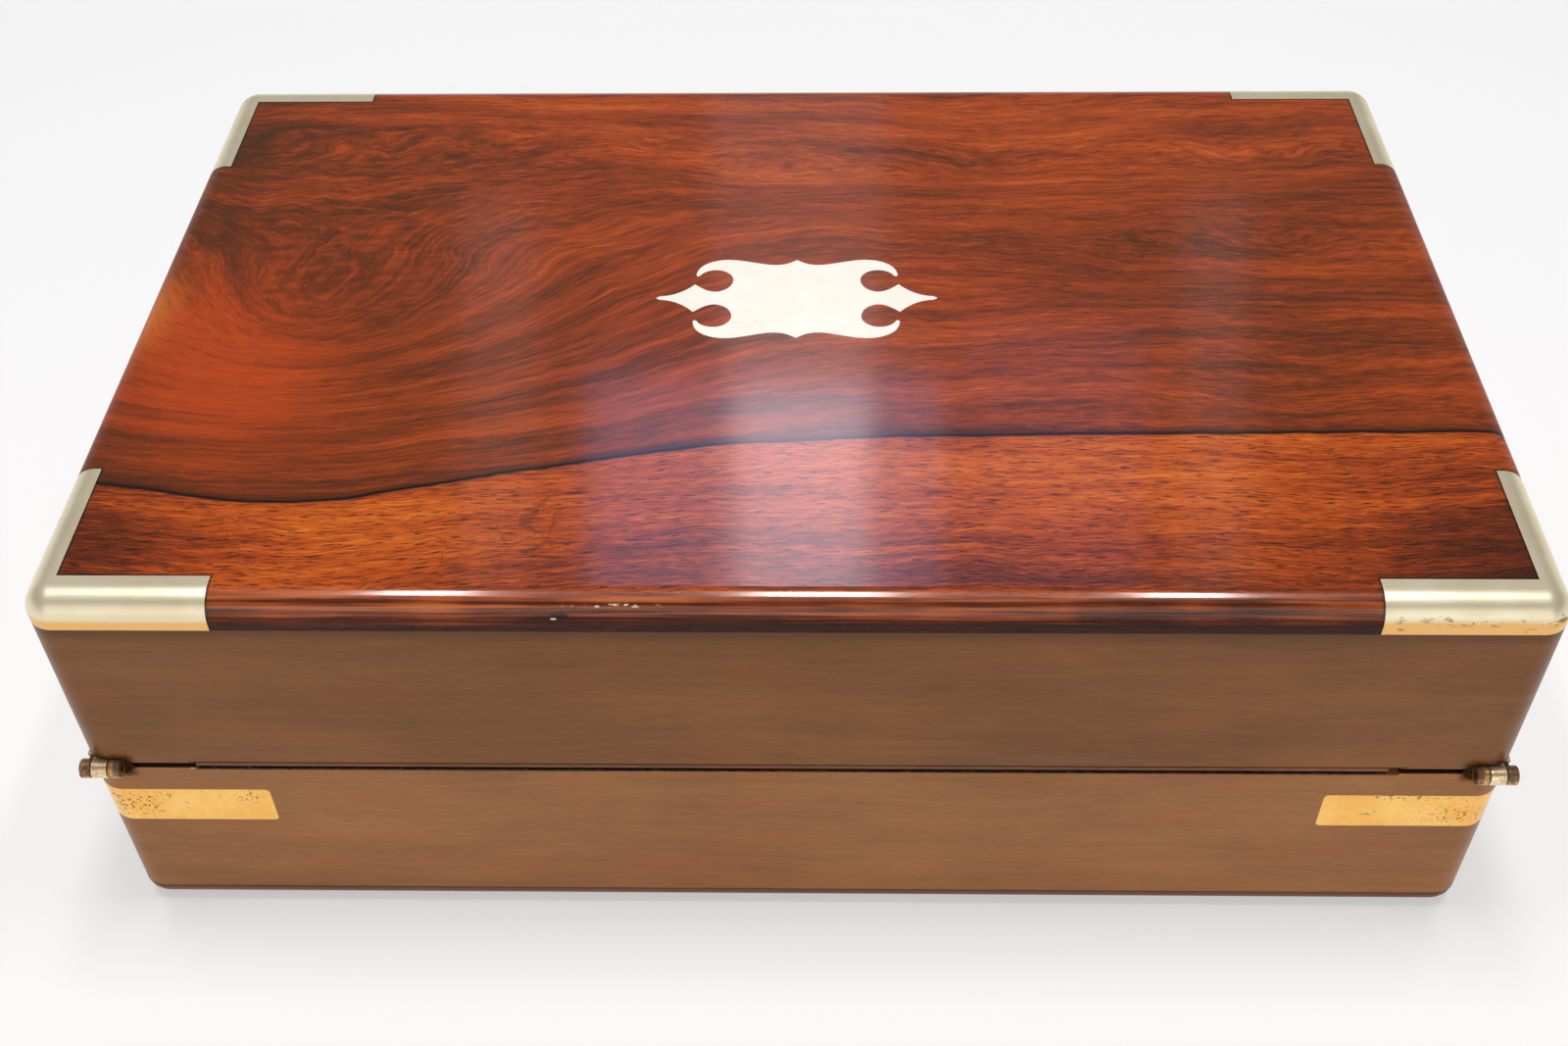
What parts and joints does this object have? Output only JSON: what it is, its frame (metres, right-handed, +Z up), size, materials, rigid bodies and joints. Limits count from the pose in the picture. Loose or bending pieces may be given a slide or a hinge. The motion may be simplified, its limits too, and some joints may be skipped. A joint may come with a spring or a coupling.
{
  "type": "writing box",
  "caption": "Long low wooden writing box, brass-bound, whose hinged lid opens flat on a sloping joint to make a leather-lined writing slope.",
  "frame": {"origin": "bottom centre of the closed box", "axes": "+Z up, X along the length, -Y the hinge side that faces the writer, +Y the lock side"},
  "size_m": [0.4066, 0.2598, 0.135],
  "materials": {
    "top_rosewood": "polished rosewood, figured",
    "lid_long_wood": "polished rosewood, plain grain",
    "lid_side_wood": "polished rosewood, plain grain",
    "base_long_wood": "polished rosewood, plain grain",
    "base_side_wood": "polished rosewood, plain grain",
    "base_bottom_wood": "satin",
    "rim_wood": "polished",
    "rim_wood_long": "polished",
    "flap_wood": "satin",
    "inner_wood": "satin",
    "tray_wood": "polished",
    "writing_leather": "tooled, dark green",
    "joint_cloth": "worn, near black",
    "inkwell_glass": "clear cut glass",
    "cap_brass": "polished",
    "strap_brass": "polished, lightly tarnished",
    "mount_metal": "polished, pale",
    "plate_metal": "polished, pale",
    "hinge_brass": "tarnished",
    "hinge_brass_lid": "polished",
    "hinge_steel": "dull",
    "screw_brass": "polished",
    "inner_brass": "satin",
    "lock_brass": "satin",
    "lock_steel": "oiled",
    "escutcheon_brass": "polished"
  },
  "bodies": {
    "base": {"base_bottom_board": "base_bottom_wood", "base_hinge_wall": "base_long_wood", "base_lock_wall": "base_long_wood", "base_left_wall": "base_side_wood", "base_right_wall": "base_side_wood", "base_left_rail": "rim_wood", "base_right_rail": "rim_wood", "tray_divider": "rim_wood_long", "ink_shelf": "inner_wood", "left_partition": "inner_wood", "right_partition": "inner_wood", "tray_cleats": "inner_wood", "pen_tray": "tray_wood", "base_flap_board": "flap_wood", "base_flap_leather": "writing_leather", "base_joint_cloth": "joint_cloth", "base_flap_pins": "inner_brass", "left_inkwell_glass": "inkwell_glass", "left_inkwell_cap": "cap_brass", "right_inkwell_glass": "inkwell_glass", "right_inkwell_cap": "cap_brass", "base_strap_hinge_left": "strap_brass", "base_strap_hinge_right": "strap_brass", "base_strap_lock_left": "strap_brass", "base_strap_lock_right": "strap_brass", "left_base_hinge_leaf": "hinge_brass", "right_base_hinge_leaf": "hinge_brass", "left_hinge_pin": "hinge_steel", "right_hinge_pin": "hinge_steel", "base_hinge_screws": "screw_brass", "lock_case": "lock_brass", "lock_case_screws": "screw_brass", "keyhole_escutcheon": "escutcheon_brass"},
    "lock": {"lock_bolt": "lock_steel"},
    "lid": {"lid_top_board": "top_rosewood", "lid_hinge_wall": "lid_long_wood", "lid_lock_wall": "lid_long_wood", "lid_left_wall": "lid_side_wood", "lid_right_wall": "lid_side_wood", "lid_left_rail": "rim_wood", "lid_right_rail": "rim_wood", "lid_lock_rail": "rim_wood_long", "lid_flap_board": "flap_wood", "lid_flap_leather": "writing_leather", "lid_flap_pins": "inner_brass", "left_lid_hinge_leaf": "hinge_brass_lid", "right_lid_hinge_leaf": "hinge_brass_lid", "lid_hinge_screws": "screw_brass", "lid_mount_hinge_left": "mount_metal", "lid_mount_hinge_right": "mount_metal", "lid_mount_lock_left": "mount_metal", "lid_mount_lock_right": "mount_metal", "name_plate": "plate_metal", "lock_link_plate": "lock_brass", "link_plate_screws": "screw_brass", "flap_catch_plate": "inner_brass"},
    "catch": {"flap_catch_bolt": "inner_brass"}
  },
  "joints": [
    {"name": "lid_hinge", "type": "hinge", "parent": "base", "child": "lid", "pos_m": [0, -0.129, 0.0675], "axis": [1, 0, 0], "range_deg": [0, 180]},
    {"name": "lock_bolt_slide", "type": "slide", "parent": "base", "child": "lock", "axis": [1, 0, 0], "range_m": [0, 0.0045]},
    {"name": "flap_catch_slide", "type": "slide", "parent": "lid", "child": "catch", "axis": [0, 0.9895, 0.1444], "range_m": [0, 0.0055]}
  ]
}
